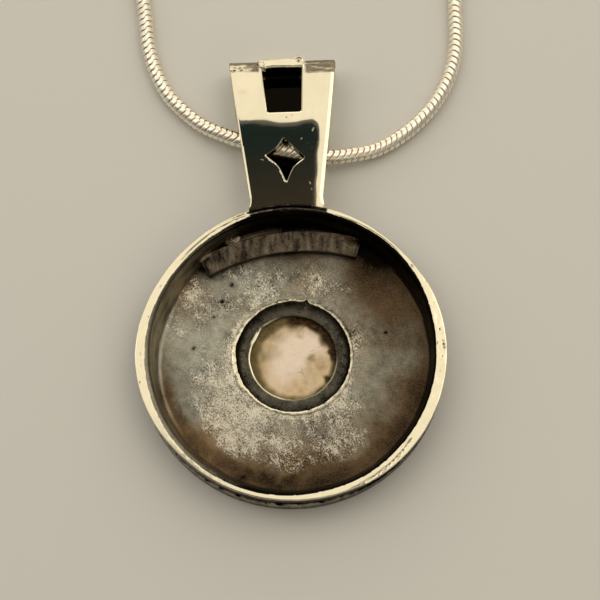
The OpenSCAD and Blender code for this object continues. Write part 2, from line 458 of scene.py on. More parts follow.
def strap_stations():
    """Along the outer face: the share of the way to the fold, how far past it, height and direction."""
    top, under = BAIL_TOP - FOLD_R, BAIL_UNDER + FOLD_R
    stations = [(share, 0, BAIL_TOP, 0, 1) for share in np.linspace(0, 1, 100, endpoint=False)]
    for middle, start, end, steps in ((top, 90, 0, 22), (under, 0, -90, 12)):
        for a in np.radians(np.linspace(start, end, steps)):
            out_y, out_z = math.cos(a), math.sin(a)
            stations.append((1, FOLD_R * out_y, middle + FOLD_R * out_z, out_y, out_z))
    return stations + [(share, 0, BAIL_UNDER, 0, -1) for share in np.linspace(1, 0, 26)[1:]]


def strap_section(half):
    """Places across the strap and depths under its outer face. Its right edge is worn more."""
    face = np.linspace(0.1 - half, half - 0.34, 64)
    back = np.linspace(half - 0.12, 0.12 - half, 16)
    x = [*face, half - 0.05, half, half, *back, -half, -half, 0.03 - half]
    depth = [0] * len(face) + [0.08, 0.2, 0.86] + [STRAP_T] * len(back) + [0.86, 0.15, 0.04]
    return np.array(x), np.array(depth)


# Pits and nicks in the bail's back
BAIL_DENTS = [
    # x, y, half length, half width, angle, depth
    (0.26, 25.9, 0.09, 0.06, 2.6, 0.12), (0.87, 26.1, 0.06, 0.04, 0, 0.12),
    (3.07, 24.4, 0.26, 0.09, 1.2, 0.05), (1.8, 23.4, 0.13, 0.07, 1.4, 0.05),
    (3.55, 22.9, 0.12, 0.05, 1.7, 0.04), (2.53, 18.3, 0.2, 0.06, 2, 0.05),
    (2.67, 17.6, 0.12, 0.05, 2.2, 0.04), (-2.5, 21.1, 0.2, 0.06, 2.8, 0.05),
    (-4.2, 25.6, 0.3, 0.06, 0.4, 0.04), (2.9, 22.3, 0.06, 0.04, 0.5, 0.03),
    (2.4, 22.8, 0.07, 0.04, 2.5, 0.03), (3.1, 16.9, 0.08, 0.05, 1.2, 0.04),
]


def slanted_row(x):
    """The middle of the worn row that slants across the fold's right."""
    return 31.4 + 0.17 * (5.2 - x)


def fold_wear(x, y):
    """Hammered ridges across the fold: two broken ones on the left, two faint ones on the right."""
    place = stacked(x, 0.6 * y, 0 * x)
    broken = [noise_at(place, 0.4, 3, seed) for seed in (93, 95)]
    left = 0.1 * bump(y, LEFT_ROWS[0], 0.14) * (0.6 + broken[0]) * (0.3 + 0.7 * ramp(-2.8, -3.4, x))
    left += 0.1 * bump(y, LEFT_ROWS[1], 0.14) * (0.6 + broken[1]) * (0.3 + 0.7 * ramp(-3.5, -4.3, x))
    right = 0.06 * bump(y, slanted_row(x), 0.1) * ramp(2.7, 3.4, x)
    right += 0.05 * bump(y, RIGHT_ROW, 0.1) * ramp(4.1, 3.6, x) + 0.02 * broken[0]
    return np.where(x < 0, left, right) - 0.07 * ramp(WORN_FROM, 31.4, y)


def make_strap():
    """One strip of silver, from the rim to the fold and back, with its slot and its diamond."""
    rings = []
    for share, beyond, z, out_y, out_z in strap_stations():
        along = BAIL_ROOT_Y + (FOLD_Y - BAIL_ROOT_Y) * share + beyond
        half = np.interp(along, *np.array(BAIL_WIDTHS).T)
        x, depth = strap_section(half)
        root = np.sqrt(BAIL_ROOT_R**2 - x**2)
        y = root + (FOLD_Y - root) * share + beyond
        lumps = noise_at(stacked(x, y, 0 * x), 3, 2, 91)
        worn = ramp(WORN_FROM, 31.22, y + 0.03 * x) * ramp(2.25, 2.55, np.abs(x))
        rise = 0.003 * lumps + worn * fold_wear(x, y)
        depth = depth - rise * (depth < 0.01) * (z > LAYERS_PART_Z)
        rings.append(stacked(x, y - depth * out_y, z - depth * out_z))
    strap = tube_object("strap", np.array(rings))
    holes = []
    for name, outline, edge, slide in (
        ("diamond", diamond_outline(), 0.08, (-0.35, -0.5)), ("slot", slot_outline(), 0.12, (0, 0))
    ):
        levels = [(0, LAYERS_PART_Z), (0, BAIL_TOP - 0.13), (0, BAIL_TOP - 0.06)]
        levels += [(edge, BAIL_TOP), (2.6 * edge, BAIL_TOP + 0.1)]
        holes.append(lofted(name, outline, levels, slide))
    for x, y, length, width, angle, depth in BAIL_DENTS:
        along, across = length * np.cos(circle(12)), width * np.sin(circle(12))
        lengthways, sideways = (math.cos(angle), math.sin(angle)), (-math.sin(angle), math.cos(angle))
        oval = (x, y) + np.outer(along, lengthways) + np.outer(across, sideways)
        levels = [(-0.7 * width, BAIL_TOP - depth), (0, BAIL_TOP), (0.02, BAIL_TOP + 0.02)]
        holes.append(lofted("dent", oval, levels))
    combine(strap, holes, "DIFFERENCE")
    return strap


def make_curl():
    """The slot's far right corner, pushed up into a small curl."""
    route = np.array([
        (1.2, 32.66, 3.66), (1.45, 32.92, 3.76), (1.9, 33, 3.8), (2.24, 32.76, 3.86),
        (2.33, 32.35, 3.91), (2.38, 31.9, 3.92), (2.34, 31.3, 3.92),
    ])
    ahead = unit(np.gradient(route, axis=0))
    radius = np.array([0.05] + [0.13] * (len(route) - 2) + [0.05])
    return tube_object("curl", rings_along(route[:, None], ahead[:, None], radius[:, None], circle(10)))


def blob(name, centre, radii, seed, roughness):
    """A rounded lump of solder with an uneven surface."""
    rings, sides = 20, 28
    down = np.linspace(0.06, math.pi - 0.06, rings)[:, None]
    around = circle(sides)
    across, up = np.sin(down), np.cos(down) + 0 * around
    flat = stacked(across * np.cos(around), across * np.sin(around), up).reshape(-1, 3)
    size = 1 + roughness * noise_at(flat, 0.8, 2, seed)
    points = flat * size[:, None] * np.array(radii) + np.array(centre)
    return tube_object(name, points.reshape(rings, sides, 3))


def squared(wave):
    """A sine or cosine with fuller shoulders."""
    return np.sign(wave) * np.abs(wave) ** 0.7


def make_bar():
    """The round bar that closes the slot, a little bent and flattened by hand."""
    steps, sides = 40, 32
    bar_y, bar_z, bar_r, half_length, flat_z = 32.3, 3.49, 0.5, 2.45, 3.93
    around, x = circle(sides), np.linspace(-half_length, half_length, steps)[:, None]
    radius = bar_r + 0.02 * np.sin(x * 2.1 + 0.6)
    y = bar_y + 0.04 * np.cos(x * 1.3) + 1.15 * radius * squared(np.cos(around))
    z = np.minimum(bar_z + radius * squared(np.sin(around)), flat_z)
    rings = stacked(x + 0 * around, y, z)
    flat = rings.reshape(-1, 3)
    flat[:, 1:] += 0.012 * noise_at(flat, 0.8, 2, 21)[:, None]
    return tube_object("bar", rings)


def make_tag():
    """The plate in the recess: a flat curved bar with soft edges."""
    steps, first_angle, last_angle = 90, 72.5, 118.5
    centre, inside_r, width = (1.1, -8.7, 0), 20, 2.3
    low, high, soft = 1.1, 2.15, 0.16
    section = arc(inside_r + width - soft, high - soft, soft, 0, 90, 4)
    section += [(inside_r + width * t, high) for t in (0.75, 0.5, 0.25)]
    section += arc(inside_r + soft, high - soft, soft, 90, 180, 4)
    section += [(inside_r, low), (inside_r + width, low)]
    r, z = np.array(section).T
    soften = np.zeros((steps, 1))
    soften[[0, 1, -2, -1], 0] = 0.1, 0.05, 0.05, 0.1
    r = r + soften * np.sign(inside_r + width / 2 - r)
    z = z - soften * (z > low + 0.1)
    rings = ring_points(np.linspace(first_angle, last_angle, steps)[:, None], r, z) + centre
    flat = rings.reshape(-1, 3)
    top = ramp(high - 0.25, high - 0.05, flat[:, 2])
    beaten = flat * (2.4, 0.35, 1)
    worn = 0.03 * noise_at(flat, 1.1, 2, 31) + 0.1 * noise_at(beaten, 0.9, 2, 33)
    flat[:, 2] += top * np.clip(worn, -0.09, 0.1)
    return tube_object("tag", rings)


# Where the recess is darker, browner or more speckled than the rest: partly tarnished patches, partly
# painted shade under the plate and along the top and right, and painted light with glints at the left and
# bottom
FLOOR_PATCHES = [
    # x, y, radius, darker, warmer, more speckled with painted glints
    (-10.4, 7.2, 1.6, -0.35, 0.35, 0.5), (-9.4, 1, 3.2, -0.18, -0.3, 0.1),
    (-12.6, 3.4, 1.8, -0.3, -0.3, 0.25), (-3.8, 7.6, 2.4, -0.05, -0.35, 0.15),
    (-7.8, -3.2, 2.4, -0.2, -0.1, 0.35), (-6.4, -7.4, 3, -0.42, 0, 0.9),
    (-1, -9.6, 2.8, -0.12, 0.2, 0.35), (5.2, -9.8, 2.4, -0.1, 0.2, 0.4),
    (-4.6, -5.2, 1.8, -0.15, 0, 0.5), (4.8, -5.2, 1.8, -0.15, 0.1, 0.5),
    (6.9, 0.6, 1.6, -0.05, 0.15, 0.4), (2.8, 7.9, 1.6, -0.15, 0.1, 0.45),
    (-2.6, 7, 1.3, -0.1, 0, 0.4), (9.6, 7.4, 4, 0.28, 0.75, -0.3),
    (11.6, 2, 2.6, 0.22, 0.4, -0.1), (12.6, -4, 2.6, 0.24, 0.6, -0.3),
    (10.4, -8.6, 2.4, 0.24, 0.6, -0.2), (3, -13, 3.4, 0.3, 0.75, -0.1),
    (-5, -12.6, 3.2, 0.22, 0.75, -0.1), (-0.7, -12.3, 1.5, 0.14, 0.5, 0.2),
    (-10.2, -9.4, 2, 0.05, 0.8, -0.3), (-12.6, -4, 1.4, 0.05, 0.2, 0.1),
    (0, 13.4, 3.6, 0.5, 0.4, -0.6), (-9, 10.6, 2.2, 0.65, 0.2, -0.3),
    (8.6, 11.4, 3, 0.52, 0.6, -0.4),
]

# Small dark pits on the recess's floor and on the rim
PITS = [
    # x, y, radius
    (-6.1, 8, 0.22), (-7.2, 6.2, 0.2), (-8.1, 4.5, 0.18), (-10.3, 1.2, 0.2), (2.8, 8.2, 0.2),
    (6.5, 2.4, 0.18), (9.9, 2.2, 0.16), (15.72, -0.3, 0.14), (15.7, 0, 0.14), (15.68, 0.3, 0.1),
    (14.15, 7, 0.08), (12.87, 8.6, 0.12), (15.2, 2.4, 0.07), (15.4, 1.6, 0.08), (15.1, 0.2, 0.05),
    (15.5, -1.2, 0.08), (15.2, -2.8, 0.06), (14.9, 4.4, 0.06), (-13.5, 7.3, 0.08), (-14.8, 4, 0.07),
    (-15.6, 0.1, 0.09), (-15.6, -1.2, 0.07), (-15.7, -3, 0.08), (1.78, 32.5, 0.16),
]


class Skin:
    """The casting's points, and what the material reads for each."""

    def __init__(self, obj):
        self.points = p = mesh_vectors(obj, "co")
        self.x, self.y, self.z, self.r, self.a = polar(p)
        self.normal_z = mesh_vectors(obj, "normal")[:, 2]
        self.patchy, self.fine = noise_at(p, 1.9, 3, 41), noise_at(p, 0.5, 2, 43)
        self.up = ramp(-0.2, 0.2, self.normal_z)
        self.inner = land_edges(self.a)[1]
        self.from_foot = self.r - wall_foot(self.a)
        self.on_bail = (self.y > 15) & (np.abs(self.x) < 6.5) & (self.r > 15.55)
        inside = ~self.on_bail & (self.r < self.inner + 0.05)
        self.recess = inside & (self.z > 0.85) & (self.up > 0.1)
        # The first look holds oxide together with painted shade where raised and painted highlights where
        # lowered; the last holds painted glints.
        self.looks = {name: np.zeros(len(p)) for name in ("tarnish", "frost", "warm", "speckle")}

    def add(self, mask, **values):
        """Adds to the looks as far as the mask goes."""
        for name, value in values.items():
            self.looks[name] += mask * value

    def put(self, mask, **values):
        """Replaces the looks where the mask is true."""
        for name, value in values.items():
            self.looks[name] = np.where(mask, value, self.looks[name])


def paint_floor(skin):
    """Grey frost with clusters of painted glints, brown and smooth towards the right and the wall, where
    oxide and painted shade darken it.
    """
    x, y, r, a = skin.x, skin.y, skin.r, skin.a
    patchy, fine, from_foot = skin.patchy, skin.fine, skin.from_foot
    floor = skin.recess * ramp(6.2, 6.45, r) * ramp(0.15, -0.1, from_foot)
    calm = 1 - 0.8 * ramp(7, 11, r) * ramp(-2, 4, x)
    # Fewer painted glints towards the right and the far left
    mottled = 0.3 + 0.25 * patchy - 0.5 * ramp(5, 11, x) - 0.25 * ramp(-9, -12, x)
    skin.add(floor, tarnish=0.4 + calm * (0.25 * patchy + 0.1 * fine), speckle=mottled, frost=0.95)
    skin.add(floor, warm=0.3 + 0.3 * noise_at(skin.points, 3.2, 2, 47))
    for px, py, size, darker, warmer, more in FLOOR_PATCHES:
        skin.add(floor * spot(x - px, y - py, size), tarnish=darker, warm=warmer, speckle=more)

    # Darker by the wall, most on the right: oxide and painted shade
    edge = floor * ramp(-1.6, 0, from_foot)
    skin.add(edge, tarnish=0.05 + 0.08 * ramp(-0.2, 0.8, facing(a, 10)), warm=0.4)
    # The lower floor by the wall: darker, browner and without glints, oxide and painted shade
    low = floor * ramp(-0.1, 0.5, facing(a, -90))
    frayed = from_foot + 0.5 * patchy
    skin.add(low * ramp(-2, -1.1, frayed), tarnish=0.12, warm=0.5)
    skin.add(low * ramp(-3.2, -0.9, frayed), speckle=-0.6)
    # Painted highlight along the foot of the left wall
    foot_highlight = floor * ramp(0.8, 0.97, facing(a, 182)) * bump(from_foot, -0.25, 0.18)
    skin.add(foot_highlight, tarnish=-0.6 - 0.4 * fine, warm=-0.6)
    # Painted light and glints by the opening's crest, on the side away from the upper right
    crest_glints = floor * bump(r, 6.4, 0.5) * ramp(0.7, -0.2, facing(a, 60))
    skin.add(crest_glints, tarnish=-0.25 - 0.4 * fine, speckle=0.9 + 0.5 * fine)
    # Lighter where the painted glints are
    skin.add(1, tarnish=-0.14 * np.clip(skin.looks["speckle"], 0, 1))


def paint_wall(skin):
    """The recess's wall: black with oxide and painted shade, but for light stripes on its left, where
    painted light falls, with a painted highlight line.
    """
    z, r, a = skin.z, skin.r, skin.a
    left = ramp(0.2, 0.9, facing(a, 180))
    stripes = noise_at(stacked(a * 0.06, z * 2.6, 0 * a), 0.5, 2, 49)
    # A painted highlight line along the lit left wall
    highlight_streak = bump(z, 2.5 + 0.01 * turn(a - 180), 0.13) + bump(z, 3.2, 0.12) * (turn(a - 170) > 0)
    highlight_streak *= ramp(-0.2, 0.3, noise_at(skin.points, 1.6, 1, 53))
    wall = skin.recess * ramp(-0.1, 0.15, skin.from_foot) * ramp(3.6, 3.35, z)
    skin.add(wall, tarnish=0.93 - left * (0.76 + 0.6 * stripes + 1.1 * highlight_streak), frost=0.55)
    skin.add(wall, warm=0.95 - 0.6 * left)
    # The wall's rounded top: darkened as oxide and painted shade, less on the lit left
    shoulder = skin.recess * ramp(3.35, 3.6, z) * (r > 14)
    skin.add(shoulder, tarnish=1.03 - 0.3 * left, warm=0.3, frost=0.3)


def paint_opening(skin):
    """The bevel round the window: dark, with a bright lip and a crumbling crest; the lip's brightness on the
    lit side is a painted highlight, the darkening towards the outer edge a painted shadow of the wall, and
    the crest's darker upper right painted shade.
    """
    x, y, z, r, a = skin.x, skin.y, skin.z, skin.r, skin.a
    from_middle = np.hypot(x - OPENING_SHIFT[0], y - OPENING_SHIFT[1])
    ring = skin.recess * ramp(1.72, 1.62, z) * (r < 6.4)
    lit = np.maximum(ramp(0, 0.5, facing(a, 192)), 0.4 * ramp(0.3, 0.7, facing(a, -70)))
    # The lip is spared the darkening only on the lit side: a painted highlight
    lip = ring * ramp(4.7, 4.62, from_middle) * lit
    dark = 0.91 + 0.03 * np.abs(facing(a, 0)) - 0.025 * facing(a, 90) ** 2
    # Darker towards the outer edge: painted shadow of the wall
    skin.add(ring * (1 - lip), tarnish=dark + 0.075 * ramp(5.2, 5.95, from_middle), frost=0.3)
    crest = skin.recess * (r > 5.7) * (r < 6.5) * ramp(1.62, 1.72, z)
    # The crest darkens towards the upper right: painted shade
    skin.add(crest, tarnish=np.clip(0.12 + 0.7 * skin.fine + 0.25 * facing(a, 60), 0, 0.5))


def paint_outside(skin):
    """The disc's side with its flange, a painted highlight on the flange's edge, and the scuffs on the rim's
    flat.
    """
    z, r, a = skin.z, skin.r, skin.a
    side = ~skin.on_bail & (r > 15.4) & (z < 3.8) & (z > 0.2)
    above_seam = ramp(2.1, 2.3, z)
    uneven = 0.7 * noise_at(skin.points, 0.6, 2, 51)
    skin.add(side, tarnish=0.94 + 0.35 * above_seam + uneven, warm=1 - 0.3 * above_seam, frost=0.6)
    # Painted highlight on the flange's edge, on the side facing the lower left
    flange_highlight = side & (r > 15.85) & (z > 1.75) & (z < 2.3) & (skin.fine > -0.4)
    skin.add(flange_highlight, tarnish=-0.8 * ramp(0.1, 0.6, facing(a, -145)))
    land = ~skin.on_bail & (r > skin.inner + 0.05) & (z > 3.7)
    scuffs = bump_round(a, 226, 14) * ramp(0.45, 0.1, np.abs(r - skin.inner - 0.5) + 0.3 * skin.fine)
    skin.add(land * scuffs, tarnish=0.3 + 0.25 * skin.patchy, frost=0.4)


def paint_tag(skin):
    """The soldered plate: dark between its ridges and light along its edges."""
    y, z, r = skin.y, skin.z, skin.r
    tag = skin.recess & (z > 1.75) & (r > 8) & (r < 13.7) & (y > 9)
    tag_edge = tag & (skin.normal_z < 0.9)
    ridges = 3.5 * (z - 2.15)
    skin.put(tag, tarnish=0.71 + 0.12 * skin.patchy - ridges - 0.45 * tag_edge, warm=0.6, speckle=0)
    skin.add(tag, frost=0.75)


def paint_bail(skin):
    """Polished outside, black inside and at the root, with dark ears between the fold's worn rows; the
    root's black is painted reflection and shade, and the ears' dark and the rows' light are partly painted
    reflection and highlight.
    """
    x, y, z, r = skin.x, skin.y, skin.z, skin.r
    under_bar = (y < 32.6) & (z < 3.35) & (np.abs(x) < 2.5)
    inside = skin.on_bail & (z > 0.5) & (z < 3.9) & (r > 16.2) & (np.abs(x) < 3.4)
    inside &= ((y < 31) | under_bar) & (skin.normal_z > -0.5)
    skin.put(inside, tarnish=1)
    # Near-black at the root: painted reflection of the dark card and painted shade at the wall's top, with a
    # painted highlight arc on the left
    root = (np.abs(x - 0.1) < 4.1) & (y > 14.4) & (r < 15.95) & (z > 3.5)
    root_reflection_and_shade = 1.2 - 0.27 * ramp(15.3, 15.45, r) - 0.4 * (x < -1.5) * bump(r, 15.5, 0.08)
    skin.put(root, tarnish=root_reflection_and_shade)

    # The fold's ears: darkened as oxide and as painted reflection of the curved fold; the worn rows stay
    # lighter as wear and painted highlight
    ear = skin.on_bail * (z > 2) * ramp(2.45, 2.6, np.abs(x))
    ear *= ramp(WORN_FROM, 31.3, y + 0.03 * x + 0.1 * skin.patchy)
    rows = bump(y, LEFT_ROWS[0], 0.24) * ramp(-3.1, -3.5, x)
    rows += bump(y, LEFT_ROWS[1], 0.24) * ramp(-3.7, -4.2, x)
    rows *= ramp(-0.7, -0.3, skin.fine)
    rows += 0.8 * bump(y, slanted_row(x), 0.07) * ramp(2.9, 3.4, x)
    rows += 0.6 * bump(y, RIGHT_ROW, 0.07) * (x > 2.6) * ramp(4.2, 3.8, x)
    ear_tarnish_and_shade = np.clip(0.5 - 0.75 * rows + 0.15 * skin.fine, 0, 1)
    skin.add(ear, tarnish=ear_tarnish_and_shade, warm=0.9, frost=0.6 * (1 - np.clip(rows, 0, 1)))
    smudge = np.exp(-((x + 4.3) ** 2 + 5 * (y - 29) ** 2) / 0.35)
    skin.add(skin.on_bail * (z > 3.9), tarnish=0.03 + 0.05 * skin.patchy + 0.12 * smudge)


def paint_casting(obj):
    """Says for each point how tarnished, frosted, brown and speckled the silver is; the darkness also holds
    painted shade and painted highlights, and the speckling holds painted glints.
    """
    skin = Skin(obj)
    for paint_zone in (paint_floor, paint_wall, paint_opening, paint_outside, paint_tag, paint_bail):
        paint_zone(skin)
    front = (skin.normal_z < -0.3) & (skin.z < 1)
    skin.put(front, tarnish=0.12 + 0.1 * skin.patchy)
    skin.add(front, frost=0.3)
    pit = np.max([spot(skin.x - x, skin.y - y, size) for x, y, size in PITS], axis=0) * skin.up
    paint(obj, "surface", skin.looks["tarnish"] + pit, skin.looks["frost"], skin.looks["warm"])
    paint(obj, "marks", skin.looks["speckle"], pit, skin.on_bail * 1)


def make_casting(material):
    casting = make_disc()
    parts = [
        make_strap(),
        make_bar(),
        make_curl(),
        blob("ball_left", (-2.2, 32.08, 3.6), (0.5, 0.68, 0.44), 71, 0.4),
        blob("ball_right", (1.92, 32.28, 3.5), (0.3, 0.32, 0.45), 73, 0.25),
        make_tag(),
        blob("solder", (-5.9, 12.75, 1.9), (0.9, 0.7, 0.5), 75, 0.3),
    ]
    casting.name = "pendant_casting"
    combine(casting, parts, "UNION")
    paint_casting(casting)
    hand_over(casting, material, "pendant_body", 32)


# The stone

STONE_TINTS = [
    # x, y, radius, how pink, how olive, how dark (painted shadow of the window's edge at the top left, dark
    # glue at the right)
    (0.4, 0.6, 1.9, 1, -0.4, 0), (-0.8, -1.2, 1.6, 0.6, -0.2, 0),
    (2.4, 1.4, 1.2, 0.7, -0.2, 0), (-2.9, 0.2, 1.4, -0.3, 0.2, 0.38),
    (-3.4, -1.6, 1.2, -0.2, 0.25, 0.22), (-2, 2.8, 1.4, 0, 0.75, 0.3),
    (0.6, 3.9, 1.1, -0.2, 0.8, 0.5), (2.1, -0.15, 0.42, -0.4, 0.9, 0.35),
    (2.5, -0.9, 1.5, -0.2, 0.7, 0.12), (0.4, -3.3, 1.4, -0.1, 0.5, 0),
    (0.9, 2.2, 0.4, -0.2, 0.5, 0.1), (2.5, 3.5, 0.9, 0, 0, 0.95),
    (3.9, 1.9, 0.8, 0, 0, 0.9), (4.2, 0.3, 0.5, 0, 0, 0.9),
    (3.6, -2.6, 0.35, 0, 0.1, 0.75), (2.8, -3.6, 0.3, 0, 0.1, 0.7),
]


def make_stone(material):
    """A low cabochon with an uneven, slightly crowned back."""
    sides, back_z, girdle_z, lift, stone_r = 160, 0.82, 0.57, 0.12, 6
    dome_h = girdle_z - lift
    dome_r = (stone_r**2 + dome_h**2) / (2 * dome_h)
    line = Outline(sides)
    for r in np.linspace(0.02, stone_r - 0.1, 44):
        line.to(r, back_z)
    line.follow((stone_r, back_z - 0.1, 2, 0.02), (stone_r, girdle_z, 2))
    for r in np.linspace(stone_r - 0.1, 0.02, 26):
        line.to(r, lift + dome_r - math.sqrt(dome_r**2 - r * r))
    rings = line.points()
    flat = rings.reshape(-1, 3)
    r = np.hypot(flat[:, 0], flat[:, 1])
    back = (flat[:, 2] > back_z - 0.01) * ramp(4.9, 4.2, r)
    crown = 0.2 * (1 - (np.minimum(r, 4.4) / 4.4) ** 2)
    flat[:, 2] += back * (crown + 0.05 * noise_at(flat, 1.1, 3, 81))
    stone = tube_object("shell_stone", rings)

    p = mesh_vectors(stone, "co")
    wander = 0.5 * noise_at(p, 1.3, 2, 83)
    x, y, z = p.T
    moved_x, moved_y = x + wander, y + 0.5 * noise_at(p, 1.3, 2, 87)
    pink, olive, dark = 0.45 + 0.2 * wander, np.full(len(p), 0.2), np.zeros(len(p))
    for px, py, size, more_pink, more_olive, darker in STONE_TINTS:
        weight = spot(moved_x - px, moved_y - py, size)
        pink += weight * more_pink
        olive += weight * more_olive
        dark = np.maximum(dark, weight * darker)
    # Painted shadow of the window's edge over the stone's back, darker and browner at the right where glue
    # lies
    rim = ramp(3.5, 4.3, np.hypot(x - 0.3, y + 0.35) + 0.2 * wander) * (z > 0.7)
    browner = ramp(0, 0.9, np.cos(np.arctan2(y, x) - 0.4))
    paint(stone, "shell", pink, olive + 0.9 * rim, dark + rim * (0.45 + 0.4 * browner))
    hand_over(stone, material, "mother_of_pearl", 40)


# The snake chain

CHAIN_R = 0.8
CHAIN_LIFT = 1.2
LINK = 0.69
CHAIN_SIDES = 28
CHAIN_ROUTE = [
    # across, up, and the lift from lying flat (0) to the middle of the bail (1)
    (-3.6, 191, 0.36), (-6.8, 191, 0.36), (-12, 190.8, 0.2), (-22, 189.2, 0), (-34, 184, 0), (-45, 175, 0),
    (-53, 163, 0), (-58, 147, 0), (-58, 131, 0), (-54, 115, 0), (-47, 100, 0), (-38, 86, 0),
    (-28.5, 72, 0), (-20.5, 58, 0), (-16.3, 48, 0), (-15.2, 41, 0), (-14.6, 35.5, 0), (-12.8, 30.6, 0),
    (-9.6, 27, 0.1), (-6.8, 25.2, 0.55), (-4.2, 24, 0.95), (0, 22.8, 1), (4.2, 22, 0.95), (7.2, 22.3, 0.55),
    (10.4, 23.2, 0.1), (14.2, 25.7, 0), (17.3, 29.4, 0), (19.1, 34.2, 0), (19.5, 41, 0), (20.2, 51, 0),
    (25, 64, 0), (33.5, 78, 0), (43, 92, 0), (52, 106, 0), (59, 120, 0), (62, 136, 0),
    (60.5, 152, 0), (54, 167, 0), (43.5, 179, 0), (30, 187, 0), (16, 190.8, 0.2), (10.8, 191, 0.36),
    (7.6, 191, 0.36),
]

# Along one scale: share of the link, and depth under the full radius
SCALE_SECTION = [(0, 0.11), (0.1, 0.03), (0.25, 0), (0.76, 0), (0.9, 0.03)]

# Along the chain in mm, the scales' turn round it in degrees, and how far they lean
COLUMN_TURN = [
    (172, 34, 0), (202, 50, 0.08), (208, 58, -0.2), (214, 74, -0.4),
    (226, 86, -0.42), (240, 88, -0.28), (262, 84, -0.1),
]


def chain_curve():
    """Close points along the chain's middle, with their distances."""
    p = np.array([(x, y, CHAIN_R + lift * CHAIN_LIFT) for x, y, lift in CHAIN_ROUTE])
    p = np.vstack([2 * p[0] - p[1], p, 2 * p[-1] - p[-2]])
    t = np.linspace(0, 1, 120, endpoint=False)[:, None]
    spans = []
    for a, b, c, d in zip(p, p[1:], p[2:], p[3:]):
        square, cube = 2 * a - 5 * b + 4 * c - d, 3 * b - a - 3 * c + d
        spans.append((2 * b + (c - a) * t + square * t**2 + cube * t**3) / 2)
    curve = np.vstack(spans + [p[-2:-1]])
    curve[:, 2] = np.maximum(curve[:, 2], CHAIN_R)
    steps = np.linalg.norm(np.diff(curve, axis=0), axis=1)
    return curve, np.concatenate([[0], np.cumsum(steps)])


def make_chain(material):
    """Four columns of arched scales, each half a scale off the next, as one tube with waving rings."""
    curve, distance = chain_curve()
    tangent = unit(np.gradient(curve, distance, axis=0))
    length = distance[-1]
    links = int(length / LINK)
    pitch = length / links
    share, sunk = np.array(SCALE_SECTION).T
    s = np.append(np.arange(links)[:, None] * pitch + share * pitch, length)
    depth = np.append(np.tile(sunk, links), sunk[0])[:, None]

    around = circle(CHAIN_SIDES)
    at_s, turned, lean = np.array(COLUMN_TURN).T
    turned, lean = np.interp(s, at_s, turned)[:, None], np.interp(s, at_s, lean)[:, None]
    column = np.cos(2 * (around - np.radians(turned)))
    wave = LINK / 4 * np.clip(2.2 * column, -1, 1) + 0.05 * column**2 + lean * np.cos(around)
    along = np.clip(s[:, None] + wave, 0, length)
    open_gap = 0.3 + 0.7 * ramp(0, 0.5, np.abs(column))
    radius = CHAIN_R - depth * open_gap

    middle, forward = (
        stacked(*(np.interp(along, distance, axis) for axis in values.T)) for values in (curve, tangent)
    )
    chain = tube_object("snake_chain", rings_along(middle, forward, radius, around))
    groove = np.clip(depth / sunk[0], 0, 1) * open_gap
    paint(chain, "links", groove.ravel(), 0, 0)
    hand_over(chain, material, "chain", 50)


# Materials

